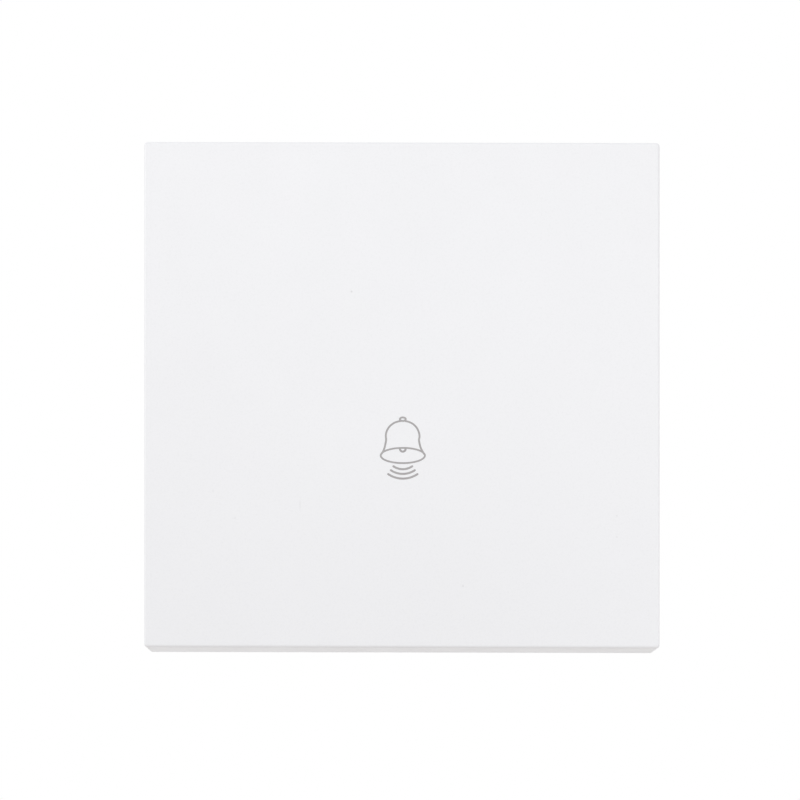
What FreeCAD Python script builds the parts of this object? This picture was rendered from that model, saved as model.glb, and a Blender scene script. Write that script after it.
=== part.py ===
# Doorbell push button for a square wall box, with a full-face push plate.
#
# Sizes are millimetres. X is to the right as seen from the room, +Y goes into the wall and +Z is up.
# The origin is the middle of the button in the plane of the wall, so the room side has negative Y.
#
# How it is built, from the room to the wall box:
#   push_plate        square white cap whose sides lean inward towards the wall
#   key_carrier       ribbed inner plate that the cap clips over; it hangs on the hinge and is pressed with it
#   base_frame        frame on the wall: hinge pins at its top, stop pads at its bottom, windows for the hooks
#   yoke              steel strap clipped behind the frame, with the two slots for the wall-box screws
#   module_housing    insulating box through the yoke, with wells for the terminal screws and wire entries
#   module_cover      lid of that box, with the guide tube of the plunger
#   plunger           slides in the guide tube and carries the contact bridge on to the two fixed contacts
import FreeCAD
import Part
import math
import os

V = FreeCAD.Vector

# The wall box asks for screws 60.3 mm apart under a cover of 86 mm, and these two margins give them:
# from the side of the switch module to the middle of a slot, and from there to the side of the cover
fixing_margin = 9.15
plate_margin = 12.85

# Push plate
plate_lean = 1.0
plate_corner_radius = 0.6
plate_edge_radius = 0.4
plate_face_thickness = 2.0
plate_side_thickness = 1.6
inner_corner_radius = 0.5
ledge_side_inset = 19.0
ledge_width = 8.0
ledge_depth = 1.6
ledge_bite = 0.5

# Travel of the plate about its hinge, and what is left to the wall at its end
press_angle = 1.2
wall_clearance = 0.3

# Layers from the wall outwards
yoke_setback = 0.8
yoke_thickness = 1.0
flange_thickness = 1.2
web_thickness = 1.4
carrier_thickness = 1.4

# Key carrier
carrier_clearance = 0.25
carrier_rib_height = 1.2
carrier_rib_thickness = 1.4
carrier_rib_spacing = 14.0
boss_radius = 4.0
boss_rise = 0.1
hook_side_inset = 17.5
hook_width = 8.0
hook_thickness = 1.4
hook_catch_reach = 1.0
hook_catch_thickness = 1.05
hook_inset = 8.0
hook_clearance = 0.3

# Base frame
frame_side_clearance = 1.0
frame_corner_radius = 2.0
frame_rib_thickness = 1.2
frame_rib_clearance = 2.0
rim_thickness = 1.8
pad_length = 8.0
pad_width = 2.6
pad_rise = 0.4
pad_side_inset = 11.5
pad_inset = 2.4
pad_seat_depth = 0.8

# Hinge
hinge_inset = 6.5
hinge_side_inset = 11.5
hinge_pin_radius = 1.1
hinge_running_clearance = 0.05
clip_wall = 1.05
clip_width = 6.4
clip_mouth = 1.7
clip_clearance = 0.3
ear_wall = 0.6
ear_thickness = 1.6
ear_clearance = 0.3

# Steel yoke
yoke_side_clearance = 0.7
yoke_margin = 3.1
yoke_corner_radius = 4.0
yoke_lip_height = 0.9
fixing_slot_width = 4.4
fixing_slot_length = 7.4
screw_window_margin = 2.5
yoke_hook_margin = 3.1
yoke_hook_inset = 4.5
yoke_hook_width = 5.0
yoke_hook_thickness = 1.4
yoke_hook_reach = 0.8
yoke_hook_catch = 0.6
yoke_pad_height = 11.0
yoke_pad_width = 2.4

# Switch module
housing_width = 42.0
housing_height = 34.0
housing_wall = 2.2
housing_rear_wall = 1.8
housing_corner_radius = 2.2
housing_edge_chamfer = 1.0
housing_rib_thickness = 1.2
flange_width = 2.4
module_clearance = 0.3
cover_seat = 0.5
cover_plug_depth = 1.0
cover_plug_thickness = 1.4
tongue_width = 5.0
tongue_thickness = 1.2
tongue_length = 7.6
tongue_barb = 0.7
tongue_offset = 7.0
gauge_length = 11.0
gauge_width = 1.6
gauge_depth = 0.6

# Plunger
press_inset = 6.8
stem_radius = 3.0
stem_clearance = 0.08
nose_height = 0.9
nose_tip_radius = 1.2
guide_wall = 1.7
guide_length = 5.4
key_width = 1.2
key_reach = 0.8
collar_radius = 4.6
collar_thickness = 1.4
spindle_radius = 1.8
spindle_length = 4.5
head_radius = 2.6
head_thickness = 1.0
spigot_radius = 1.5
spigot_length = 2.5

# Springs
contact_spring_radius = 2.5
contact_spring_wire = 0.5
contact_spring_turns = 2.0
return_spring_radius = 2.3
return_spring_wire = 0.6
return_spring_turns = 2.5

# Contacts
contact_offset = 6.5
contact_head_radius = 1.5
contact_head_height = 0.8
contact_taper = 0.3
contact_gap_left = 0.03
bridge_overhang = 2.1
strip_thickness = 0.8
strip_width = 5.0
strip_overhang = 1.8

# Terminals
block_width = 8.0
block_depth = 6.7
block_length = 9.0
block_rear_gap = 1.2
wire_bore_radius = 1.7
wire_bore_wall = 1.0
wire_entry_clearance = 0.4
wire_entry_flare = 0.6
stud_radius = 1.1
screw_radius = 1.45
screw_shank_length = 4.4
screw_head_radius = 2.6
screw_head_height = 2.0
screw_slot_width = 0.8
screw_slot_depth = 1.0
well_clearance = 0.4
well_wall = 1.4
well_height = 2.2

# Clearances between pieces that lie against each other
touch = 0.05
slip = 0.1

# Outlines of the module, and the plunger's place in it
housing_half_x = housing_width / 2
housing_half_z = housing_height / 2
cavity_half_x = housing_half_x - housing_wall
cavity_half_z = housing_half_z - housing_wall
cover_half_x = cavity_half_x + cover_seat
cover_half_z = cavity_half_z + cover_seat
plug_half_x = cavity_half_x - slip
plug_half_z = cavity_half_z - slip
flange_half_x = housing_half_x + flange_width
flange_half_z = housing_half_z + flange_width
press_drop = cavity_half_z - press_inset

# Half sizes of the cover, of its mouth, of the frame and of the tray inside the frame's rim
fixing_x = housing_half_x + fixing_margin
cover_half = fixing_x + plate_margin
mouth_half = cover_half - plate_lean - plate_side_thickness
frame_half = mouth_half - frame_side_clearance
tray_half = frame_half - rim_thickness
ledge_x = cover_half - ledge_side_inset
pad_x = frame_half - pad_side_inset
pad_height = frame_half - pad_inset
hook_x = frame_half - hook_side_inset
hook_height = frame_half - hook_inset
yoke_half_x = tray_half - yoke_side_clearance
yoke_half_z = flange_half_z + yoke_margin
yoke_hook_x = flange_half_x + yoke_hook_margin + yoke_hook_width / 2
yoke_hook_height = yoke_half_z - yoke_hook_inset

# Hinge, and how far the plate's edge and the carrier's rib rim travel
hinge_x = frame_half - hinge_side_inset
hinge_z = frame_half - hinge_inset
clip_bore_radius = hinge_pin_radius + hinge_running_clearance
clip_radius = clip_bore_radius + clip_wall
ear_radius = hinge_pin_radius + ear_wall
press_sine = math.sin(math.radians(press_angle))
rib_rim_outer = pad_height + carrier_rib_thickness / 2
rim_travel = (hinge_z + rib_rim_outer) * press_sine
edge_travel = (hinge_z + cover_half) * press_sine

# Levels along Y, from the wall to the room
yoke_back = -yoke_setback
yoke_front = yoke_back - yoke_thickness
web_back = yoke_front - flange_thickness
frame_front = web_back - web_thickness
gap_for_travel = pad_rise + rim_travel + carrier_rib_height
gap_for_hinge = clip_clearance + clip_radius + ear_radius + ear_clearance - carrier_thickness
carrier_back = frame_front - max(gap_for_travel, gap_for_hinge)
plate_back = carrier_back - carrier_thickness
face_front = plate_back - plate_face_thickness
skirt_end = -wall_clearance - edge_travel
plate_depth = skirt_end - face_front
hinge_y = frame_front - clip_clearance - clip_radius
rib_back = carrier_back + carrier_rib_height
boss_back = rib_back + boss_rise
pad_front = rib_back + rim_travel + touch / 2
pad_seat = frame_front + pad_seat_depth

# Levels along Y inside the module, from the room to the wall box
nose_tip = boss_back + touch
guide_end = frame_front + guide_length
collar_front = guide_end + touch
collar_back = collar_front + collar_thickness
bridge_back = collar_back + spindle_length
bridge_front = bridge_back - strip_thickness
head_front = bridge_back + touch
head_back = head_front + head_thickness
plunger_travel = (hinge_z + press_drop) * math.radians(press_angle)
moving_tip = bridge_back + contact_head_height
fixed_tip = moving_tip + plunger_travel + contact_gap_left
strip_front = fixed_tip + contact_head_height
strip_back = strip_front + strip_thickness
block_back = strip_back + block_depth
housing_floor = block_back + block_rear_gap
housing_back = housing_floor + housing_rear_wall
wire_y = strip_back + wire_bore_wall + wire_bore_radius
screw_tip = wire_y + wire_bore_radius + slip
screw_seat = screw_tip + screw_shank_length

# Places of the terminals
block_x = plug_half_x - block_width / 2
block_inner = block_x - block_width / 2
block_outer = block_x + block_width / 2
block_bottom = -cavity_half_z
block_top = block_bottom + block_length
screw_z = (block_bottom + block_top) / 2
well_radius = screw_head_radius + well_clearance


def plate_half(y):
    """Half the plate's outer width at depth y: its sides lean in towards the wall."""
    return cover_half - plate_lean * (y - face_front) / plate_depth


def plate_inner_half(y):
    """Half the plate's inner width at depth y."""
    return plate_half(y) - plate_side_thickness


carrier_half = plate_inner_half(carrier_back) - carrier_clearance


def box(x0, x1, y0, y1, z0, z1):
    """A block between two corners, given in any order."""
    low = V(min(x0, x1), min(y0, y1), min(z0, z1))
    return Part.makeBox(abs(x1 - x0), abs(y1 - y0), abs(z1 - z0), low)


def bar(middle_x, width_x, y0, y1, middle_z, width_z):
    """A block given by its middle and width along X and Z, and by its ends along Y."""
    return box(
        middle_x - width_x / 2, middle_x + width_x / 2, y0, y1, middle_z - width_z / 2, middle_z + width_z / 2
    )


def outline(half_x, half_z, radius, y, x=0.0, z=0.0):
    """A rounded rectangle in the plane at depth y, or a slot where the radius is half the height."""
    diagonal = radius * math.sqrt(0.5)
    arcs = []
    for turn, (sign_x, sign_z) in enumerate(((1, 1), (-1, 1), (-1, -1), (1, -1))):
        centre = V(x + sign_x * (half_x - radius), y, z + sign_z * (half_z - radius))
        along = V(math.cos(turn * math.pi / 2), 0, math.sin(turn * math.pi / 2)) * radius
        across = V(-math.sin(turn * math.pi / 2), 0, math.cos(turn * math.pi / 2)) * radius
        arcs.append(Part.Arc(centre + along, centre + V(sign_x, 0, sign_z) * diagonal, centre + across))
    edges = []
    for arc, following in zip(arcs, arcs[1:] + arcs[:1]):
        edges.append(arc.toShape())
        if arc.EndPoint.distanceToPoint(following.StartPoint) > 1e-6:
            edges.append(Part.makeLine(arc.EndPoint, following.StartPoint))
    return Part.Wire(edges)


def slab(half_x, half_z, radius, y0, y1, x=0.0, z=0.0):
    """A rounded rectangle drawn out along Y from y0 to y1."""
    return Part.Face(outline(half_x, half_z, radius, y0, x, z)).extrude(V(0, y1 - y0, 0))


def rod_x(radius, x0, x1, y, z):
    """A cylinder along X."""
    return Part.makeCylinder(radius, x1 - x0, V(x0, y, z), V(1, 0, 0))


def rod_y(radius, y0, y1, x, z):
    """A cylinder along Y."""
    return Part.makeCylinder(radius, y1 - y0, V(x, y0, z), V(0, 1, 0))


def rod_z(radius, z0, z1, x, y):
    """A cylinder along Z."""
    return Part.makeCylinder(radius, z1 - z0, V(x, y, z0), V(0, 0, 1))


def turned(profile, x, z):
    """A solid turned about the line along Y through x and z, from its (radius, y) points."""
    points = [V(x + radius, y, z) for radius, y in profile]
    return Part.Face(Part.makePolygon(points + points[:1])).revolve(V(x, 0, z), V(0, 1, 0), 360)


def prism_x(profile, middle, width):
    """A solid drawn out along X from its (y, z) points."""
    points = [V(middle - width / 2, y, z) for y, z in profile]
    return Part.Face(Part.makePolygon(points + points[:1])).extrude(V(width, 0, 0))


def prism_z(profile, middle, width):
    """A solid drawn out along Z from its (x, y) points."""
    points = [V(x, y, middle - width / 2) for x, y in profile]
    return Part.Face(Part.makePolygon(points + points[:1])).extrude(V(0, 0, width))


def mirrored(shape):
    """The same shape on the other side of the upright middle plane."""
    return shape.mirror(V(0, 0, 0), V(1, 0, 0))


def flipped(shape):
    """The same shape on the other side of the level middle plane."""
    return shape.mirror(V(0, 0, 0), V(0, 0, 1))


def left_and_right(*shapes):
    return [copy for shape in shapes for copy in (shape, mirrored(shape))]


def four_corners(shape):
    return left_and_right(shape, flipped(shape))


def quarter_turns(shape):
    """Four copies of a shape round the line along Y through the origin."""
    copies = []
    for quarter in range(4):
        copy = shape.copy()
        copy.rotate(V(0, 0, 0), V(0, 1, 0), 90 * quarter)
        copies.append(copy)
    return copies


def edges_at_depth(shape, y):
    """The edges of a shape that lie in the plane at depth y."""
    return [e for e in shape.Edges if max(abs(e.BoundBox.YMin - y), abs(e.BoundBox.YMax - y)) < 1e-4]


def leaning_block(half_at, radius, y0, y1):
    """A square block with leaning sides and rounded corners, whose half width at a depth half_at gives."""
    near, far = half_at(y0), half_at(y1)
    block = Part.makeWedge(-near, y0, -near, -far, -far, near, y1, near, far, far)
    corners = [e for e in block.Edges if e.BoundBox.YLength > (y1 - y0) / 2]
    return block.makeFillet(radius, corners)


def catch_profile(root, inner, outer, catch_front, catch_thickness, reach):
    """The (y, z) outline of a snap hook: a leg from inner to outer, and a catch with a lead-in."""
    tip = catch_front + catch_thickness
    return [
        (root, inner),
        (tip, inner),
        (tip, outer + reach / 2),
        (tip - catch_thickness / 2, outer + reach),
        (catch_front, outer + reach),
        (catch_front, outer),
        (root, outer),
    ]


def make_push_plate():
    outer = leaning_block(plate_half, plate_corner_radius, face_front, skirt_end)
    outer = outer.makeFillet(plate_edge_radius, edges_at_depth(outer, face_front))
    hollow = leaning_block(plate_inner_half, inner_corner_radius, plate_back, skirt_end)
    start = carrier_back + touch
    end = start + ledge_depth
    tip = carrier_half - ledge_bite
    root = plate_inner_half(start) + plate_side_thickness / 2
    profile = [
        (root, start),
        (tip, start),
        (tip, start + ledge_depth / 3),
        (plate_inner_half(end), end),
        (root, end),
    ]
    ledge = prism_z(profile, ledge_x, ledge_width)
    ledges = quarter_turns(ledge) + quarter_turns(flipped(ledge))
    return outer.cut(hollow).fuse(ledges).removeSplitter()


def carrier_ribs():
    """The rim of ribs that meets the stop pads, and the ribs that cross inside it."""
    rim_inner = rib_rim_outer - carrier_rib_thickness
    rim = bar(0, 2 * rib_rim_outer, carrier_back, rib_back, 0, 2 * rib_rim_outer)
    ribs = [rim.cut(bar(0, 2 * rim_inner, carrier_back, rib_back, 0, 2 * rim_inner))]
    for step in (-1, 0, 1):
        middle = step * carrier_rib_spacing
        ribs.append(bar(middle, carrier_rib_thickness, carrier_back, rib_back, 0, 2 * pad_height))
        ribs.append(bar(0, 2 * pad_height, carrier_back, rib_back, middle, carrier_rib_thickness))
    return ribs


def make_key_carrier():
    body = slab(carrier_half, carrier_half, inner_corner_radius, plate_back, carrier_back)
    clip_start = hinge_x - clip_width / 2
    clip_end = hinge_x + clip_width / 2
    neck = bar(hinge_x, clip_width, carrier_back, hinge_y, hinge_z, 2 * clip_radius)
    room_side = bar(hinge_x, clip_width, face_front, carrier_back, hinge_z, 2 * clip_radius)
    sleeve = rod_x(clip_radius, clip_start, clip_end, hinge_y, hinge_z).cut(room_side)
    bore = rod_x(clip_bore_radius, clip_start, clip_end, hinge_y, hinge_z)
    mouth = bar(hinge_x, clip_width, hinge_y, frame_front, hinge_z, clip_mouth)
    window_width = clip_width + 2 * ear_thickness + 4 * ear_clearance
    window_height = 2 * ear_radius + 2 * ear_clearance
    ear_windows = bar(hinge_x, window_width, plate_back, carrier_back, hinge_z, window_height)
    ear_windows = ear_windows.cut(bar(hinge_x, clip_width, plate_back, carrier_back, hinge_z, window_height))
    profile = catch_profile(
        carrier_back,
        hook_height - hook_thickness,
        hook_height,
        web_back + touch,
        hook_catch_thickness,
        hook_catch_reach,
    )
    hook = flipped(prism_x(profile, hook_x, hook_width))
    boss = rod_y(boss_radius, carrier_back, boss_back, 0, -press_drop)
    added = carrier_ribs() + left_and_right(sleeve, neck, hook) + [boss]
    return body.fuse(added).cut(left_and_right(bore, mouth, ear_windows)).removeSplitter()


def hinge_ears():
    """The ears on the right of the frame and the pin moulded between them."""
    gap = clip_width + 2 * ear_clearance
    pin = rod_x(hinge_pin_radius, hinge_x - gap / 2, hinge_x + gap / 2, hinge_y, hinge_z)
    pieces = [pin]
    for side in (-1, 1):
        middle = hinge_x + side * (gap + ear_thickness) / 2
        start = middle - ear_thickness / 2
        pieces.append(rod_x(ear_radius, start, start + ear_thickness, hinge_y, hinge_z))
        pieces.append(bar(middle, ear_thickness, hinge_y, web_back, hinge_z, 2 * ear_radius))
    return pieces


def frame_ribs():
    """Stiffening ribs behind the web, above and below the yoke and clear of the carrier's hooks."""
    start = yoke_half_z + yoke_side_clearance
    middle_z = (start + tray_half) / 2
    inner_x = (hook_x - hook_width / 2) / 2
    outer_x = hook_x + hook_width / 2 + frame_rib_clearance + frame_rib_thickness / 2
    ribs = []
    for x in (-outer_x, -inner_x, 0, inner_x, outer_x):
        rib = bar(x, frame_rib_thickness, web_back, yoke_back, middle_z, tray_half - start)
        ribs += [rib, flipped(rib)]
    return ribs


def yoke_holders():
    """What holds the yoke to the frame: four hooks, and four pads in front of it."""
    profile = catch_profile(
        web_back,
        yoke_hook_height - yoke_hook_thickness / 2,
        yoke_hook_height + yoke_hook_thickness / 2,
        yoke_back + touch,
        yoke_hook_catch,
        yoke_hook_reach,
    )
    hook = prism_x(profile, yoke_hook_x, yoke_hook_width)
    pad = bar(yoke_hook_x, yoke_hook_width, web_back, yoke_front, yoke_pad_height, yoke_pad_width)
    return four_corners(hook) + four_corners(pad)


def make_base_frame():
    body = slab(frame_half, frame_half, frame_corner_radius, frame_front, 0)
    tray = bar(0, 2 * tray_half, web_back, 0, 0, 2 * tray_half)
    module_window = slab(
        cover_half_x + module_clearance,
        cover_half_z + module_clearance,
        housing_corner_radius,
        frame_front,
        web_back,
    )
    screw_window = bar(
        fixing_x,
        fixing_slot_length + 2 * screw_window_margin,
        frame_front,
        web_back,
        0,
        fixing_slot_width + 2 * screw_window_margin,
    )
    window_outer = hook_height + hook_clearance
    window_inner = hook_height - hook_thickness - hook_catch_reach - hook_clearance
    hook_window = bar(
        hook_x,
        hook_width + 2 * hook_clearance,
        frame_front,
        web_back,
        -(window_outer + window_inner) / 2,
        window_outer - window_inner,
    )
    seat = bar(pad_x, pad_length, frame_front, pad_seat, -pad_height, pad_width)
    body = body.cut([tray, module_window] + left_and_right(screw_window, hook_window, seat))
    added = left_and_right(*hinge_ears()) + frame_ribs() + yoke_holders()
    return body.fuse(added).removeSplitter()


def make_stop_pad():
    """Right-hand rubber pad in its seat; the carrier's rib rim meets it at the end of the travel."""
    return bar(pad_x, pad_length - 2 * touch, pad_front, pad_seat, -pad_height, pad_width - 2 * touch)


def make_yoke():
    sheet = slab(yoke_half_x, yoke_half_z, yoke_corner_radius, yoke_front, yoke_back)
    lip = bar(
        0,
        2 * (yoke_half_x - yoke_corner_radius),
        yoke_front - yoke_lip_height,
        yoke_front,
        yoke_half_z - yoke_thickness / 2,
        yoke_thickness,
    )
    housing_window = slab(
        housing_half_x + module_clearance,
        housing_half_z + module_clearance,
        housing_corner_radius,
        yoke_front,
        yoke_back,
    )
    fixing_slot = slab(
        fixing_slot_length / 2,
        fixing_slot_width / 2,
        fixing_slot_width / 2,
        yoke_front,
        yoke_back,
        fixing_x,
    )
    hook_slot = bar(
        yoke_hook_x,
        yoke_hook_width + 2 * hook_clearance,
        yoke_front,
        yoke_back,
        yoke_hook_height + yoke_hook_reach / 2,
        yoke_hook_thickness + yoke_hook_reach + 2 * hook_clearance,
    )
    removed = [housing_window] + left_and_right(fixing_slot) + four_corners(hook_slot)
    return sheet.fuse([lip, flipped(lip)]).cut(removed).removeSplitter()


def make_module_housing():
    body = slab(housing_half_x, housing_half_z, housing_corner_radius, web_back, housing_back)
    body = body.makeChamfer(housing_edge_chamfer, edges_at_depth(body, housing_back))
    flange = bar(0, 2 * flange_half_x, web_back, yoke_front, 0, 2 * flange_half_z)
    cavity = bar(0, 2 * cavity_half_x, web_back, housing_floor, 0, 2 * cavity_half_z)
    gauge = bar(0, gauge_length, housing_back - gauge_depth, housing_back, housing_half_z / 2, gauge_width)
    well_end = housing_back + well_height
    well = rod_y(well_radius + well_wall, block_back, well_end, block_x, screw_z)
    well_hole = rod_y(well_radius, block_back, well_end, block_x, screw_z)
    anvil_start = contact_offset - strip_overhang
    anvil = box(
        anvil_start,
        block_inner - slip,
        strip_back,
        housing_floor,
        -press_drop - strip_width / 2,
        -press_drop + strip_width / 2,
    )
    rib_bottom = block_top + slip
    rib_top = rib_bottom + housing_rib_thickness
    rib = box(anvil_start, cavity_half_x, strip_back, housing_floor, rib_bottom, rib_top)
    spring_post = rod_y(spigot_radius, housing_floor - spigot_length, housing_floor, 0, -press_drop)
    entry_radius = wire_bore_radius + wire_entry_clearance
    entry = Part.makeCone(
        entry_radius + wire_entry_flare,
        entry_radius,
        housing_wall,
        V(block_x, wire_y, -housing_half_z),
        V(0, 0, 1),
    )
    barb_end = web_back + tongue_length
    barb_window = box(
        cavity_half_x,
        housing_half_x,
        barb_end - 2 * tongue_barb - slip,
        barb_end + slip,
        tongue_offset - tongue_width / 2 - slip,
        tongue_offset + tongue_width / 2 + slip,
    )
    shell = body.fuse(flange).cut([cavity, gauge])
    shell = shell.fuse(left_and_right(well, anvil, rib) + [spring_post])
    removed = left_and_right(well_hole, entry) + four_corners(barb_window)
    return shell.cut(removed).removeSplitter()


def make_module_cover():
    lid = slab(cover_half_x, cover_half_z, housing_corner_radius, frame_front, web_back)
    plug_end = web_back + cover_plug_depth
    hollow_half_x = plug_half_x - cover_plug_thickness
    hollow_half_z = plug_half_z - cover_plug_thickness
    plug = bar(0, 2 * plug_half_x, web_back, plug_end, 0, 2 * plug_half_z)
    plug = plug.cut(bar(0, 2 * hollow_half_x, web_back, plug_end, 0, 2 * hollow_half_z))
    bore_radius = stem_radius + stem_clearance
    tube = rod_y(bore_radius + guide_wall, frame_front, guide_end, 0, -press_drop)
    bore = rod_y(bore_radius, frame_front, guide_end, 0, -press_drop)
    keyway_half = key_width / 2 + stem_clearance
    keyway_top = -press_drop + bore_radius + key_reach
    keyway = box(-keyway_half, keyway_half, frame_front, guide_end, -press_drop, keyway_top)
    tongue_end = web_back + tongue_length
    profile = [
        (plug_half_x - tongue_thickness, web_back),
        (plug_half_x, web_back),
        (plug_half_x, tongue_end - 2 * tongue_barb),
        (plug_half_x + tongue_barb, tongue_end - 2 * tongue_barb),
        (plug_half_x + tongue_barb, tongue_end - 1.5 * tongue_barb),
        (plug_half_x, tongue_end),
        (plug_half_x - tongue_thickness, tongue_end),
    ]
    tongues = four_corners(prism_z(profile, tongue_offset, tongue_width))
    return lid.fuse([plug, tube] + tongues).cut([bore, keyway]).removeSplitter()


def make_plunger():
    shoulder = nose_tip + nose_height
    profile = [
        (0, nose_tip),
        (nose_tip_radius, nose_tip),
        (stem_radius, shoulder),
        (stem_radius, collar_front),
        (collar_radius, collar_front),
        (collar_radius, collar_back),
        (spindle_radius, collar_back),
        (spindle_radius, head_front),
        (head_radius, head_front),
        (head_radius, head_back),
        (spigot_radius, head_back),
        (spigot_radius, head_back + spigot_length),
        (0, head_back + spigot_length),
    ]
    key_top = -press_drop + stem_radius + key_reach
    key = box(-key_width / 2, key_width / 2, shoulder, collar_front, -press_drop, key_top)
    return turned(profile, 0, -press_drop).fuse(key).removeSplitter()


def make_spring(radius, wire, turns, start, end):
    """A coil of square wire about the plunger's axis, between two seats."""
    rise = end - start - wire
    path = Part.makeHelix(rise / turns, rise, radius)
    half = wire / 2
    corners = [(half, 0), (0, half), (-half, 0), (0, -half), (half, 0)]
    section = Part.makePolygon([V(radius + across, 0, along) for across, along in corners])
    coil = Part.Wire(path).makePipeShell([section], True, True)
    coil.rotate(V(0, 0, 0), V(1, 0, 0), -90)
    coil.translate(V(0, start + half, -press_drop))
    return coil


def make_contact_bridge():
    length = 2 * (contact_offset + bridge_overhang)
    strip = bar(0, length, bridge_front, bridge_back, -press_drop, strip_width)
    spindle_hole = rod_y(spindle_radius + touch, bridge_front, bridge_back, 0, -press_drop)
    return strip.cut(spindle_hole)


def make_contact(tip, seat):
    """A silver button, from the face that meets the other one to the seat that is welded to its strip."""
    profile = [
        (0, tip),
        (contact_head_radius - contact_taper, tip),
        (contact_head_radius, seat),
        (0, seat),
    ]
    return turned(profile, contact_offset, -press_drop)


def make_contact_strip():
    """The right-hand brass strip from the terminal block to the fixed contact."""
    start = contact_offset - strip_overhang
    end = block_outer - slip
    strip = bar((start + end) / 2, end - start, strip_front, strip_back, -press_drop, strip_width)
    stud_hole = rod_y(stud_radius + touch, strip_front, strip_back, block_x, -press_drop)
    return strip.cut(stud_hole)


def make_terminal_block():
    """The right-hand brass block: wire bore from below, screw hole from behind, riveted stud in front."""
    body = bar(block_x, block_width, strip_back, block_back, screw_z, block_length)
    stud = rod_y(stud_radius, strip_front, strip_back, block_x, -press_drop)
    wire_bore = rod_z(wire_bore_radius, block_bottom, block_top, block_x, wire_y)
    screw_hole = rod_y(screw_radius + touch, wire_y, block_back, block_x, screw_z)
    return body.fuse(stud).cut([wire_bore, screw_hole]).removeSplitter()


def make_terminal_screw():
    """The right-hand clamp screw, backed off so that the wire bore is open."""
    head_end = screw_seat + screw_head_height
    slot_floor = head_end - screw_slot_depth
    profile = [
        (0, screw_tip),
        (screw_radius, screw_tip),
        (screw_radius, screw_seat),
        (screw_head_radius, screw_seat),
        (screw_head_radius, head_end),
        (0, head_end),
    ]
    slot = bar(block_x, 2 * screw_head_radius, slot_floor, head_end, screw_z, screw_slot_width)
    return turned(profile, block_x, screw_z).cut(slot)


def save(name, shape):
    shape.exportStep(os.path.join("parts", name + ".step"))


def save_pair(name, shape):
    save(name + "_right", shape)
    save(name + "_left", mirrored(shape))


os.makedirs("parts", exist_ok=True)
save("push_plate", make_push_plate())
save("key_carrier", make_key_carrier())
save("base_frame", make_base_frame())
save("yoke", make_yoke())
save("module_housing", make_module_housing())
save("module_cover", make_module_cover())
save("plunger", make_plunger())
save("contact_bridge", make_contact_bridge())
save(
    "contact_spring",
    make_spring(contact_spring_radius, contact_spring_wire, contact_spring_turns, collar_back, bridge_front),
)
save(
    "return_spring",
    make_spring(return_spring_radius, return_spring_wire, return_spring_turns, head_back, housing_floor),
)
save_pair("stop_pad", make_stop_pad())
save_pair("moving_contact", make_contact(moving_tip, bridge_back))
save_pair("fixed_contact", make_contact(fixed_tip, strip_front))
save_pair("contact_strip", make_contact_strip())
save_pair("terminal_block", make_terminal_block())
save_pair("terminal_screw", make_terminal_screw())
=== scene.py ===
import math
from collections import namedtuple
import bpy
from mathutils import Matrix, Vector


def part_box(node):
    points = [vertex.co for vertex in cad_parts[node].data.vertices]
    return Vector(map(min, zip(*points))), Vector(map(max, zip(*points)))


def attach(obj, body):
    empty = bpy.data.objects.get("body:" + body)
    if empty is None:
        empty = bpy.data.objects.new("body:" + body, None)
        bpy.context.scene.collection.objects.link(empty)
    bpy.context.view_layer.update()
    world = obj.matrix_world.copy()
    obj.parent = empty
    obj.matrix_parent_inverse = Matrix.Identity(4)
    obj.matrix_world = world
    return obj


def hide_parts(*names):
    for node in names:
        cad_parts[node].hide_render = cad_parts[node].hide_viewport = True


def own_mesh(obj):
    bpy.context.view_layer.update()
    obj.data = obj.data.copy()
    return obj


# Looks of the doorbell push button. Everything is in metres in the frame of the CAD model:
# X to the right, +Y into the wall, +Z up, and the origin in the plane of the wall.

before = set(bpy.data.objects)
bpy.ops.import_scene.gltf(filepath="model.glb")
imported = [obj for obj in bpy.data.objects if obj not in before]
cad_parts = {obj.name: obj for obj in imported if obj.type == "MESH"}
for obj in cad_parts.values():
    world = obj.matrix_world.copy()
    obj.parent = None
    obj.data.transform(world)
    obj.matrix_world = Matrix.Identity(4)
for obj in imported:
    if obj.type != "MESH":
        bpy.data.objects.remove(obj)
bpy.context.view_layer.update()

MM = 0.001

# The photograph's frame, and what was read from it in pixels
IMAGE_SIDE = 800.0
FACE_CENTRE_PX = (401.95, 394.75)
PLATE_WIDTH_PX = 515.4

# Where the camera stands: a little to the left of the button and below it, and clear of it
VIEW_AZIMUTH = math.radians(-0.7)
VIEW_ELEVATION = math.radians(-11.4)
VIEW_DISTANCE = 0.4

plate_low, plate_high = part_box("push_plate")
FACE_Y = plate_low[1]
PLATE_WIDTH = plate_high[0] - plate_low[0]
METRES_PER_PX = PLATE_WIDTH * math.cos(VIEW_AZIMUTH) / PLATE_WIDTH_PX

# The camera's own directions
BACK = Vector(
    (
        math.sin(VIEW_AZIMUTH) * math.cos(VIEW_ELEVATION),
        -math.cos(VIEW_AZIMUTH) * math.cos(VIEW_ELEVATION),
        math.sin(VIEW_ELEVATION),
    )
)
RIGHT = Vector((math.cos(VIEW_AZIMUTH), math.sin(VIEW_AZIMUTH), 0))
UP = BACK.cross(RIGHT)
FACE_CENTRE = Vector((0, FACE_Y, 0))


def on_face(px, py):
    """The point (x, z) of the plate's face that the photograph shows at a pixel."""
    across = (px - FACE_CENTRE_PX[0]) * METRES_PER_PX
    above = (FACE_CENTRE_PX[1] - py) * METRES_PER_PX
    x = across / RIGHT.x
    z = (above - UP.x * x) / UP.z
    return x, z


# Materials

# The values that noise mostly stays between
NOISE_LOW = 0.3
NOISE_HIGH = 0.7

# The values of the noise at which moulded plastic has its deep tone and its pale one
PLASTIC_DEEP_AT = 0.32
PLASTIC_PALE_AT = 0.68

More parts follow.
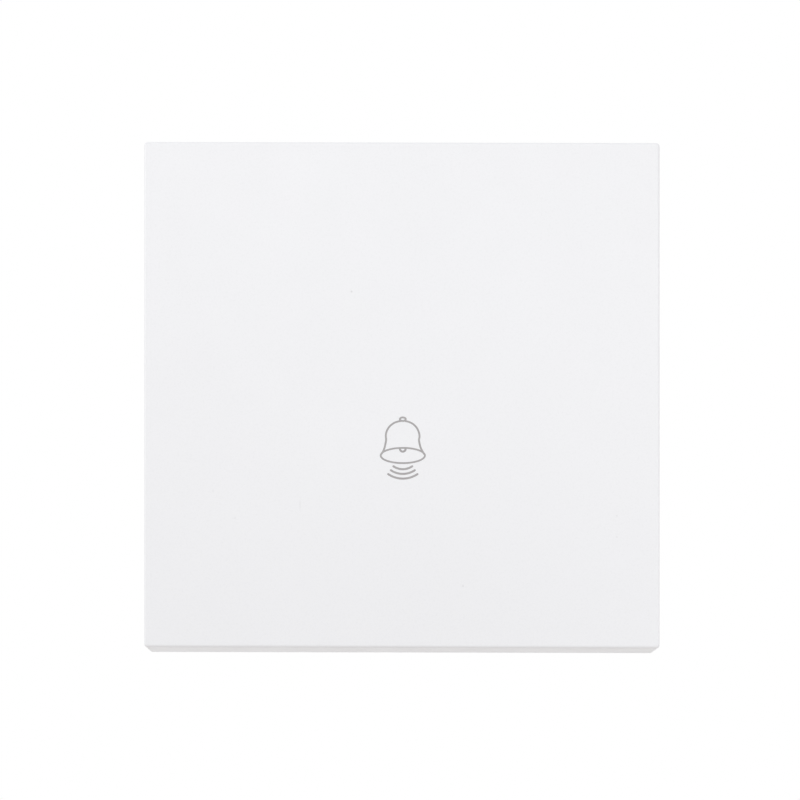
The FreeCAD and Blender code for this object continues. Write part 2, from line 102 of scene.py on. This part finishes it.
# Flecks of moulded plastic: their width in grains, their shade, and the values of the noise
# that they fade between
FLECK_GRAINS = 2.5
FLECK_SHADE = 0.98
FLECK_FULL_AT = 0.28
FLECK_GONE_AT = 0.5

# Patches of uneven gloss go this many times into the width of a cloud of colour
GLOSS_PER_CLOUD = 6

# The numbers of a Mix node's sockets when it mixes colours
MIX_AMOUNT = 0
MIX_FIRST = 6
MIX_SECOND = 7
MIX_RESULT = 2

Finish = namedtuple("Finish", "material tree shader shade")


def tree_of(name):
    """A new material with only its output and a Principled shader."""
    material = bpy.data.materials.new(name)
    material.use_nodes = True
    tree = material.node_tree
    tree.nodes.clear()
    out = tree.nodes.new("ShaderNodeOutputMaterial")
    shader = tree.nodes.new("ShaderNodeBsdfPrincipled")
    tree.links.new(shader.outputs["BSDF"], out.inputs["Surface"])
    return material, tree, shader


def coordinates(tree, stretch=(1, 1, 1)):
    """Object coordinates in metres, times a factor for each axis that packs a texture closer along it."""
    where = tree.nodes.new("ShaderNodeTexCoord")
    mapping = tree.nodes.new("ShaderNodeMapping")
    mapping.inputs["Scale"].default_value = stretch
    tree.links.new(where.outputs["Object"], mapping.inputs["Vector"])
    return mapping.outputs["Vector"]


def noise(tree, vector, size, detail=3.0, roughness=0.55):
    """Noise whose lumps are about size metres across."""
    node = tree.nodes.new("ShaderNodeTexNoise")
    node.inputs["Scale"].default_value = 1.0 / size
    node.inputs["Detail"].default_value = detail
    node.inputs["Roughness"].default_value = roughness
    tree.links.new(vector, node.inputs["Vector"])
    return node.outputs["Fac"]


def ramp(tree, value, stops):
    """A colour ramp over a value, from two (place, colour) stops."""
    node = tree.nodes.new("ShaderNodeValToRGB")
    for element, (place, colour) in zip(node.color_ramp.elements, stops):
        element.position = place
        element.color = (*colour, 1.0)
    tree.links.new(value, node.inputs["Fac"])
    return node.outputs["Color"]


def spread(tree, value, low, high, start=NOISE_LOW, end=NOISE_HIGH):
    """A value between start and end, spread out between low and high."""
    node = tree.nodes.new("ShaderNodeMapRange")
    node.inputs["From Min"].default_value = start
    node.inputs["From Max"].default_value = end
    node.inputs["To Min"].default_value = low
    node.inputs["To Max"].default_value = high
    tree.links.new(value, node.inputs["Value"])
    return node.outputs["Result"]


def mixed(tree, kind, amount, first, second):
    """Two colours mixed by a number or by another node's value."""
    node = tree.nodes.new("ShaderNodeMix")
    node.data_type = "RGBA"
    node.blend_type = kind
    if isinstance(amount, float):
        node.inputs[MIX_AMOUNT].default_value = amount
    else:
        tree.links.new(amount, node.inputs[MIX_AMOUNT])
    for socket, colour in ((node.inputs[MIX_FIRST], first), (node.inputs[MIX_SECOND], second)):
        if isinstance(colour, tuple):
            socket.default_value = (*colour, 1.0)
        else:
            tree.links.new(colour, socket)
    return node.outputs[MIX_RESULT]


def bumped(tree, shader, height, depth):
    """Relief of a given depth in metres on the shader's normal."""
    node = tree.nodes.new("ShaderNodeBump")
    node.inputs["Distance"].default_value = depth
    node.inputs["Strength"].default_value = 1.0
    tree.links.new(height, node.inputs["Height"])
    tree.links.new(node.outputs["Normal"], shader.inputs["Normal"])


def plastic(name, pale, deep, rough, grain, grain_depth, cloud=20 * MM, specular=0.5):
    """Moulded plastic: cloudy colour between two tones, uneven gloss and a fine spark-eroded grain."""
    material, tree, shader = tree_of(name)
    where = coordinates(tree)
    tone = noise(tree, where, cloud, detail=4.0)
    shade = ramp(tree, tone, ((PLASTIC_DEEP_AT, deep), (PLASTIC_PALE_AT, pale)))
    fleck = noise(tree, where, grain * FLECK_GRAINS, detail=1.0)
    fleck = spread(tree, fleck, FLECK_SHADE, 1.0, start=FLECK_FULL_AT, end=FLECK_GONE_AT)
    shade = mixed(tree, "MULTIPLY", 1.0, shade, fleck)
    tree.links.new(shade, shader.inputs["Base Color"])
    gloss = noise(tree, where, cloud / GLOSS_PER_CLOUD, detail=3.0)
    tree.links.new(spread(tree, gloss, *rough), shader.inputs["Roughness"])
    shader.inputs["Specular IOR Level"].default_value = specular
    bumped(tree, shader, noise(tree, where, grain, detail=2.0), grain_depth)
    return Finish(material, tree, shader, shade)


def metal(name, pale, deep, rough, grain, grain_depth, stretch=(1, 1, 1), cloud=4 * MM):
    """Drawn, stamped or turned metal: tarnish clouds, and a fine grain that stretch packs into lines."""
    material, tree, shader = tree_of(name)
    where = coordinates(tree)
    lines = coordinates(tree, stretch)
    tone = noise(tree, where, cloud, detail=5.0, roughness=0.6)
    shade = ramp(tree, tone, ((NOISE_LOW, deep), (NOISE_HIGH, pale)))
    tree.links.new(shade, shader.inputs["Base Color"])
    shader.inputs["Metallic"].default_value = 1.0
    streak = noise(tree, lines, grain, detail=3.0)
    tree.links.new(spread(tree, streak, *rough), shader.inputs["Roughness"])
    bumped(tree, shader, streak, grain_depth)
    return Finish(material, tree, shader, shade)


# Small marks on the face, by their pixel: centre, half width, half height, darkness
FACE_MARKS_PX = (
    ((351.5, 291.5), 1.1, 1.1, 0.18),
    ((463.0, 586.0), 1.0, 1.3, 0.12),
    ((616.8, 515.8), 1.0, 1.0, 0.09),
    ((616.8, 537.0), 1.0, 1.0, 0.08),
    ((300.0, 504.5), 0.8, 5.0, 0.06),
    ((213.0, 491.0), 0.9, 1.6, 0.06),
    ((235.0, 518.0), 0.9, 1.6, 0.06),
    ((541.0, 308.0), 1.2, 0.8, 0.04),
)

# The colour of a mark, its half depth along Y, and where it starts and ends to fade, in half widths
MARK_COLOUR = (0.12, 0.12, 0.125)
MARK_HALF_DEPTH = 4 * MM
MARK_FULL_TO = 0.5
MARK_GONE_AT = 1.3


def face_marks(tree, where, shade):
    """The shade with the small dust marks of the face darkened into it."""
    for (px, py), half_wide, half_high, dark in FACE_MARKS_PX:
        x, z = on_face(px, py)
        shift = tree.nodes.new("ShaderNodeVectorMath")
        shift.operation = "SUBTRACT"
        shift.inputs[1].default_value = (x, FACE_Y, z)
        tree.links.new(where, shift.inputs[0])
        scale = tree.nodes.new("ShaderNodeVectorMath")
        scale.operation = "MULTIPLY"
        scale.inputs[1].default_value = (
            1 / (half_wide * METRES_PER_PX),
            1 / MARK_HALF_DEPTH,
            1 / (half_high * METRES_PER_PX),
        )
        tree.links.new(shift.outputs["Vector"], scale.inputs[0])
        length = tree.nodes.new("ShaderNodeVectorMath")
        length.operation = "LENGTH"
        tree.links.new(scale.outputs["Vector"], length.inputs[0])
        amount = spread(tree, length.outputs["Value"], dark, 0.0, start=MARK_FULL_TO, end=MARK_GONE_AT)
        shade = mixed(tree, "MIX", amount, shade, MARK_COLOUR)
    return shade


plate_white = plastic(
    "plate_white",
    pale=(0.874, 0.8825, 0.906),
    deep=(0.864, 0.8725, 0.896),
    rough=(0.30, 0.38),
    grain=0.14 * MM,
    grain_depth=0.0016 * MM,
    cloud=50 * MM,
)
marked = face_marks(plate_white.tree, coordinates(plate_white.tree), plate_white.shade)
plate_white.tree.links.new(marked, plate_white.shader.inputs["Base Color"])

carrier_white = plastic(
    "carrier_white",
    pale=(0.80, 0.80, 0.79),
    deep=(0.76, 0.76, 0.745),
    rough=(0.42, 0.55),
    grain=0.2 * MM,
    grain_depth=0.004 * MM,
)
frame_white = plastic(
    "frame_white",
    pale=(0.82, 0.82, 0.815),
    deep=(0.78, 0.78, 0.77),
    rough=(0.40, 0.52),
    grain=0.2 * MM,
    grain_depth=0.004 * MM,
)
housing_grey = plastic(
    "housing_grey",
    pale=(0.58, 0.58, 0.56),
    deep=(0.52, 0.52, 0.50),
    rough=(0.38, 0.55),
    grain=0.25 * MM,
    grain_depth=0.006 * MM,
    cloud=12 * MM,
)
cover_grey = plastic(
    "cover_grey",
    pale=(0.62, 0.62, 0.60),
    deep=(0.56, 0.56, 0.54),
    rough=(0.38, 0.52),
    grain=0.25 * MM,
    grain_depth=0.006 * MM,
    cloud=12 * MM,
)
pad_rubber = plastic(
    "pad_rubber",
    pale=(0.055, 0.055, 0.055),
    deep=(0.04, 0.04, 0.042),
    rough=(0.65, 0.85),
    grain=0.12 * MM,
    grain_depth=0.006 * MM,
    cloud=3 * MM,
    specular=0.3,
)
sign_ink = plastic(
    "sign_ink",
    pale=(0.43, 0.418, 0.424),
    deep=(0.385, 0.373, 0.38),
    rough=(0.45, 0.6),
    grain=0.08 * MM,
    grain_depth=0.001 * MM,
    cloud=1.5 * MM,
    specular=0.3,
)

# Natural nylon lets a little light in
NYLON_SUBSURFACE = 0.12
NYLON_LIGHT_REACH = 0.6 * MM

plunger_nylon = plastic(
    "plunger_nylon",
    pale=(0.74, 0.70, 0.60),
    deep=(0.68, 0.64, 0.53),
    rough=(0.34, 0.48),
    grain=0.15 * MM,
    grain_depth=0.004 * MM,
    cloud=4 * MM,
)
plunger_nylon.shader.inputs["Subsurface Weight"].default_value = NYLON_SUBSURFACE
plunger_nylon.shader.inputs["Subsurface Scale"].default_value = NYLON_LIGHT_REACH

# Galvanised sheet has broad spangles of slightly different grey, with a dull bloom
SPANGLE_SIZE = 2.4 * MM
SPANGLE_DARKEST = 0.86

zinc_steel = metal(
    "zinc_steel",
    pale=(0.72, 0.73, 0.75),
    deep=(0.60, 0.61, 0.63),
    rough=(0.30, 0.46),
    grain=1.2 * MM,
    grain_depth=0.004 * MM,
    stretch=(1, 1, 6),
)
spangle = zinc_steel.tree.nodes.new("ShaderNodeTexVoronoi")
spangle.inputs["Scale"].default_value = 1.0 / SPANGLE_SIZE
zinc_steel.tree.links.new(coordinates(zinc_steel.tree), spangle.inputs["Vector"])
spangle_shade = spread(zinc_steel.tree, spangle.outputs["Color"], SPANGLE_DARKEST, 1.0, start=0.0, end=1.0)
spangled = mixed(zinc_steel.tree, "MULTIPLY", 1.0, zinc_steel.shade, spangle_shade)
zinc_steel.tree.links.new(spangled, zinc_steel.shader.inputs["Base Color"])

screw_steel = metal(
    "screw_steel",
    pale=(0.74, 0.73, 0.69),
    deep=(0.62, 0.60, 0.55),
    rough=(0.22, 0.38),
    grain=0.3 * MM,
    grain_depth=0.004 * MM,
    stretch=(1, 8, 1),
    cloud=1.5 * MM,
)
spring_steel = metal(
    "spring_steel",
    pale=(0.62, 0.62, 0.63),
    deep=(0.50, 0.50, 0.51),
    rough=(0.20, 0.34),
    grain=0.15 * MM,
    grain_depth=0.002 * MM,
    cloud=1 * MM,
)
brass = metal(
    "brass",
    pale=(0.80, 0.60, 0.27),
    deep=(0.66, 0.47, 0.19),
    rough=(0.24, 0.42),
    grain=0.25 * MM,
    grain_depth=0.003 * MM,
    stretch=(6, 1, 1),
    cloud=3 * MM,
)
silver = metal(
    "silver",
    pale=(0.90, 0.89, 0.86),
    deep=(0.80, 0.79, 0.76),
    rough=(0.20, 0.34),
    grain=0.2 * MM,
    grain_depth=0.003 * MM,
    cloud=1 * MM,
)

# The CAD nodes that have each finish
FINISHED_NODES = (
    (plate_white, ("push_plate",)),
    (carrier_white, ("key_carrier",)),
    (frame_white, ("base_frame",)),
    (housing_grey, ("module_housing",)),
    (cover_grey, ("module_cover",)),
    (plunger_nylon, ("plunger",)),
    (zinc_steel, ("yoke",)),
    (screw_steel, ("terminal_screw_left", "terminal_screw_right")),
    (spring_steel, ("contact_spring", "return_spring")),
    (brass, ("contact_bridge", "contact_strip_left", "contact_strip_right")),
    (brass, ("terminal_block_left", "terminal_block_right")),
    (silver, ("moving_contact_left", "moving_contact_right")),
    (silver, ("fixed_contact_left", "fixed_contact_right")),
    (pad_rubber, ("stop_pad_left", "stop_pad_right")),
)
for finish, names in FINISHED_NODES:
    for name in names:
        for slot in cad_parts[name].material_slots:
            slot.material = finish.material


# Pieces added to the CAD model


def mesh_piece(name, points, faces, finish, body, smooth=True):
    """A piece from points and faces, with its finish and the body that it rides on."""
    mesh = bpy.data.meshes.new(name)
    mesh.from_pydata(points, [], faces)
    mesh.validate()
    mesh.update()
    for polygon in mesh.polygons:
        polygon.use_smooth = smooth
    mesh.materials.append(finish.material)
    piece = bpy.data.objects.new(name, mesh)
    bpy.context.scene.collection.objects.link(piece)
    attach(piece, body)
    return piece


def swept(rings, closed):
    """Points and faces of a skin over rings of points, with flat ends where it isn't closed."""
    count = len(rings[0])
    points = [p for ring in rings for p in ring]
    faces = []
    pairs = list(zip(range(len(rings)), range(1, len(rings))))
    if closed:
        pairs.append((len(rings) - 1, 0))
    for a, b in pairs:
        for i in range(count):
            j = (i + 1) % count
            faces.append((a * count + i, a * count + j, b * count + j, b * count + i))
    if not closed:
        last = (len(rings) - 1) * count
        faces.append(tuple(reversed(range(count))))
        faces.append(tuple(last + i for i in range(count)))
    return points, faces


# The printed bell sign, as strokes through pixels of the photograph
STROKE_WIDTHS_PX = {"dome": 1.87, "ring": 1.9, "rim": 1.77, "clapper": 2.1, "wave": 2.1}

# The ink stands off the face and reaches a little into it, and a stroke's layer adds a step to both
INK_HEIGHT = 0.008 * MM
INK_SUNK = 0.004 * MM
INK_STEP = 0.0015 * MM

# A round end turns in steps up to an angle in degrees, just short of its tip, so that its last face
# has a width
CAP_STEPS = 5
CAP_ANGLE = 86.0

BELL_X_PX = 402.8
DOME_LEFT_PX = (
    (400.6, 421.0), (397.0, 421.8), (393.3, 423.4), (389.4, 426.7), (386.8, 431.0), (385.8, 435.4),
    (386.1, 439.7), (385.5, 443.5), (384.5, 447.8), (382.9, 451.8), (381.4, 454.0),
)
DOME_RIGHT_PX = (
    (405.2, 421.0), (409.0, 422.0), (412.8, 423.9), (416.7, 427.8), (418.9, 432.6), (419.5, 436.6),
    (419.0, 439.9), (419.5, 443.5), (420.7, 447.8), (422.6, 451.6), (424.2, 454.0),
)

# Ellipses, by their centre, half width and half height
RING_PX = ((BELL_X_PX, 419.2), 2.9, 1.75)
RIM_PX = ((BELL_X_PX, 455.5), 22.1, 7.6)
CLAPPER_PX = ((BELL_X_PX, 448.9), 2.8, 2.7)

# The sound waves are arcs about one centre, with as many degrees to the left of straight down as to
# the right
WAVE_CENTRE_PX = (BELL_X_PX, 452.5)
WAVE_RADII_PX = (16.7, 21.4, 26.1)
WAVE_HALF_ANGLE = 34.0
DOWN = 90


def eased(points, steps=8):
    """A smooth line through points, in steps between each two of them."""
    line = []
    ends = [Vector(p) for p in (points[0], *points, points[-1])]
    for before, here, following, after in zip(ends, ends[1:], ends[2:], ends[3:]):
        leaving = (following - before) / 2
        arriving = (after - here) / 2
        for step in range(steps):
            t = step / steps
            towards = t * t * (3 - 2 * t)
            bend = leaving * (t * (1 - t) * (1 - t)) - arriving * (t * t * (1 - t))
            line.append(here.lerp(following, towards) + bend)
    line.append(ends[-1])
    return line


def arc_px(centre, half_x, half_y, start, end, steps):
    """Points on an ellipse, with angles in degrees from the right and downwards in the picture."""
    line = []
    for step in range(steps + 1):
        angle = math.radians(start + (end - start) * step / steps)
        line.append((centre[0] + half_x * math.cos(angle), centre[1] + half_y * math.sin(angle)))
    return line


def stroke(name, line_px, width_px, layer, closed=False):
    """A flat raised stroke of ink along pixels of the photograph, with round ends."""
    line = [Vector(on_face(*p)) for p in line_px]
    half = width_px * METRES_PER_PX / 2
    if closed:
        line = line[:-1]
    stations = []
    for i, here in enumerate(line):
        before = line[i - 1] if closed or i else here
        after = line[(i + 1) % len(line)] if closed or i + 1 < len(line) else here
        along = (after - before).normalized()
        stations.append((here, along, half))
    if not closed:
        first, first_way, _ = stations[0]
        last, last_way, _ = stations[-1]
        caps = []
        for step in range(1, CAP_STEPS + 1):
            angle = math.radians(CAP_ANGLE * step / CAP_STEPS)
            caps.append((half * math.sin(angle), half * math.cos(angle)))
        head = [(first - first_way * reach, first_way, wide) for reach, wide in reversed(caps)]
        tail = [(last + last_way * reach, last_way, wide) for reach, wide in caps]
        stations = head + stations + tail
    front = FACE_Y - INK_HEIGHT - layer * INK_STEP
    back = FACE_Y + INK_SUNK + layer * INK_STEP
    rings = []
    for here, along, wide in stations:
        across = Vector((-along.y, along.x)) * wide
        a = here + across
        b = here - across
        rings.append(((a.x, front, a.y), (b.x, front, b.y), (b.x, back, b.y), (a.x, back, a.y)))
    points, faces = swept(rings, closed)
    mesh_piece(name, points, faces, sign_ink, "plate", smooth=False)


ring_line = arc_px(*RING_PX, start=0, end=360, steps=40)
rim_line = arc_px(*RIM_PX, start=0, end=360, steps=96)
clapper_line = arc_px(*CLAPPER_PX, start=0, end=180, steps=24)
stroke("sign_dome_left", eased(DOME_LEFT_PX), STROKE_WIDTHS_PX["dome"], layer=0)
stroke("sign_dome_right", eased(DOME_RIGHT_PX), STROKE_WIDTHS_PX["dome"], layer=0)
stroke("sign_ring", ring_line, STROKE_WIDTHS_PX["ring"], layer=1, closed=True)
stroke("sign_rim", rim_line, STROKE_WIDTHS_PX["rim"], layer=2, closed=True)
stroke("sign_clapper", clapper_line, STROKE_WIDTHS_PX["clapper"], layer=3)
for number, radius in enumerate(WAVE_RADII_PX, start=1):
    wave_line = arc_px(
        WAVE_CENTRE_PX, radius, radius, start=DOWN - WAVE_HALF_ANGLE, end=DOWN + WAVE_HALF_ANGLE, steps=28
    )
    stroke("sign_wave_" + str(number), wave_line, STROKE_WIDTHS_PX["wave"], layer=0)


# Coil springs of round wire with closed ends, in place of the plain ones
WIRE_SIDES = 14
STEPS_PER_TURN = 40

# The turns of a closed end lie this many wires apart
CLOSED_PITCH = 1.02


def coil(name, node, radius, wire, closed_turns, open_turns, body):
    """A compression spring between the ends of its node, about the same axis."""
    low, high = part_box(node)
    axis_x = (low[0] + high[0]) / 2
    axis_z = (low[2] + high[2]) / 2
    half = wire / 2
    start = low[1] + half
    end = high[1] - half
    flat = closed_turns * wire * CLOSED_PITCH
    rise = (end - start - 2 * flat) / open_turns
    turns = 2 * closed_turns + open_turns
    steps = int(round(turns * STEPS_PER_TURN))

    def depth(turn):
        """How far along Y the wire's centre is after so many turns."""
        if turn < closed_turns:
            return start + flat * turn / closed_turns
        if turn > closed_turns + open_turns:
            return end - flat * (turns - turn) / closed_turns
        return start + flat + rise * (turn - closed_turns)

    centres = []
    for step in range(steps + 1):
        turn = turns * step / steps
        angle = 2 * math.pi * turn
        x = axis_x + radius * math.cos(angle)
        z = axis_z + radius * math.sin(angle)
        centres.append(Vector((x, depth(turn), z)))
    rings = []
    for i, here in enumerate(centres):
        along = (centres[min(i + 1, steps)] - centres[max(i - 1, 0)]).normalized()
        outward = Vector((here.x - axis_x, 0, here.z - axis_z)).normalized()
        side = along.cross(outward).normalized()
        outward = side.cross(along)
        ring = []
        for corner in range(WIRE_SIDES):
            angle = 2 * math.pi * corner / WIRE_SIDES
            ring.append(tuple(here + outward * (half * math.cos(angle)) + side * (half * math.sin(angle))))
        rings.append(ring)
    points, faces = swept(rings, closed=False)
    piece = mesh_piece(name, points, faces, spring_steel, body)
    for end_face in piece.data.polygons[-2:]:
        end_face.use_smooth = False
    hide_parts(node)
    return piece


return_coil = coil(
    "return_coil",
    "return_spring",
    radius=2.3 * MM,
    wire=0.5 * MM,
    closed_turns=1.0,
    open_turns=4.0,
    body="base",
)
coil(
    "contact_coil",
    "contact_spring",
    radius=2.5 * MM,
    wire=0.42 * MM,
    closed_turns=0.75,
    open_turns=2.5,
    body="plunger",
)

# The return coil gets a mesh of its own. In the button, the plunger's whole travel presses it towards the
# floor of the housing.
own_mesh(return_coil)

# The floor
FLOOR_LEVEL = -0.22
FLOOR_SIZE = 3.0
FLOOR_CLOUD = 0.3
FLOOR_PALE = (0.873, 0.843, 0.823)
FLOOR_DEEP = (0.853, 0.823, 0.803)
FLOOR_ROUGHNESS = 0.8

floor_mesh = bpy.data.meshes.new("floor")
half_floor = FLOOR_SIZE / 2
floor_mesh.from_pydata(
    [
        (-half_floor, -half_floor, FLOOR_LEVEL),
        (half_floor, -half_floor, FLOOR_LEVEL),
        (half_floor, half_floor, FLOOR_LEVEL),
        (-half_floor, half_floor, FLOOR_LEVEL),
    ],
    [],
    [(0, 1, 2, 3)],
)
floor = bpy.data.objects.new("floor", floor_mesh)
bpy.context.scene.collection.objects.link(floor)
floor_paint, floor_tree, floor_shader = tree_of("floor_paint")
floor_tone = noise(floor_tree, coordinates(floor_tree), FLOOR_CLOUD)
floor_shade = ramp(floor_tree, floor_tone, ((NOISE_LOW, FLOOR_DEEP), (NOISE_HIGH, FLOOR_PALE)))
floor_tree.links.new(floor_shade, floor_shader.inputs["Base Color"])
floor_shader.inputs["Roughness"].default_value = FLOOR_ROUGHNESS
floor_mesh.materials.append(floor_paint)


def seen_directly(tree):
    """1 for rays from the camera and for reflected and transmitted rays, and 0 for light."""
    path = tree.nodes.new("ShaderNodeLightPath")
    value = path.outputs["Is Camera Ray"]
    for kind in ("Is Glossy Ray", "Is Transmission Ray"):
        either = tree.nodes.new("ShaderNodeMath")
        either.operation = "MAXIMUM"
        tree.links.new(value, either.inputs[0])
        tree.links.new(path.outputs[kind], either.inputs[1])
        value = either.outputs[0]
    return value


# The floor is whiter where it is seen, and keeps the object's shadow
FLOOR_WHITENING = 0.55

floor_glow = floor_tree.nodes.new("ShaderNodeEmission")
share = floor_tree.nodes.new("ShaderNodeMath")
share.operation = "MULTIPLY"
share.inputs[1].default_value = FLOOR_WHITENING
floor_tree.links.new(seen_directly(floor_tree), share.inputs[0])
floor_mix = floor_tree.nodes.new("ShaderNodeMixShader")
floor_tree.links.new(share.outputs[0], floor_mix.inputs["Fac"])
floor_tree.links.new(floor_shader.outputs["BSDF"], floor_mix.inputs[1])
floor_tree.links.new(floor_glow.outputs[0], floor_mix.inputs[2])
floor_out = [n for n in floor_tree.nodes if n.type == "OUTPUT_MATERIAL"][0]
floor_tree.links.new(floor_mix.outputs[0], floor_out.inputs["Surface"])

# The world is white for the camera and for reflections, and a soft even light on the object
WHITE = (1, 1, 1, 1)
WORLD_SEEN = 1.0
WORLD_LIGHT = 0.77

world = bpy.data.worlds.new("studio")
bpy.context.scene.world = world
world.use_nodes = True
sky = world.node_tree
sky.nodes.clear()
sky_out = sky.nodes.new("ShaderNodeOutputWorld")
sky_seen = sky.nodes.new("ShaderNodeBackground")
sky_seen.inputs["Color"].default_value = WHITE
sky_seen.inputs["Strength"].default_value = WORLD_SEEN
sky_lit = sky.nodes.new("ShaderNodeBackground")
sky_lit.inputs["Color"].default_value = WHITE
sky_lit.inputs["Strength"].default_value = WORLD_LIGHT
sky_mix = sky.nodes.new("ShaderNodeMixShader")
sky.links.new(seen_directly(sky), sky_mix.inputs["Fac"])
sky.links.new(sky_lit.outputs[0], sky_mix.inputs[1])
sky.links.new(sky_seen.outputs[0], sky_mix.inputs[2])
sky.links.new(sky_mix.outputs[0], sky_out.inputs["Surface"])


def soft_light(name, place, size, watts):
    """A round soft lamp of a given width that faces the middle of the button."""
    data = bpy.data.lights.new(name, "AREA")
    data.shape = "DISK"
    data.size = size
    data.energy = watts
    lamp = bpy.data.objects.new(name, data)
    lamp.location = place
    lamp.rotation_mode = "QUATERNION"
    lamp.rotation_quaternion = (-Vector(place)).to_track_quat("-Z", "Y")
    bpy.context.scene.collection.objects.link(lamp)


# A soft lamp far to the left, a small one near on the right, and one in front and a little above
soft_light("left_light", place=(-0.38, -0.16, 0.12), size=0.20, watts=0.29)
soft_light("right_light", place=(0.14, -0.10, -0.02), size=0.10, watts=0.026)
soft_light("front_light", place=(-0.02, -0.26, 0.12), size=0.20, watts=0.125)

# The camera sees the object within these distances
CLIP_NEAR = 0.01
CLIP_FAR = 10.0

camera_data = bpy.data.cameras.new("camera")
camera_data.type = "ORTHO"
camera_data.ortho_scale = IMAGE_SIDE * METRES_PER_PX
camera_data.clip_start = CLIP_NEAR
camera_data.clip_end = CLIP_FAR
camera = bpy.data.objects.new("camera", camera_data)
beside = (FACE_CENTRE_PX[0] - IMAGE_SIDE / 2) * METRES_PER_PX
above = (IMAGE_SIDE / 2 - FACE_CENTRE_PX[1]) * METRES_PER_PX
camera.location = FACE_CENTRE - RIGHT * beside - UP * above + BACK * VIEW_DISTANCE
camera.rotation_mode = "QUATERNION"
camera.rotation_quaternion = (-BACK).to_track_quat("-Z", "Y")
bpy.context.scene.collection.objects.link(camera)
bpy.context.scene.camera = camera

bpy.context.scene.view_settings.view_transform = "Standard"
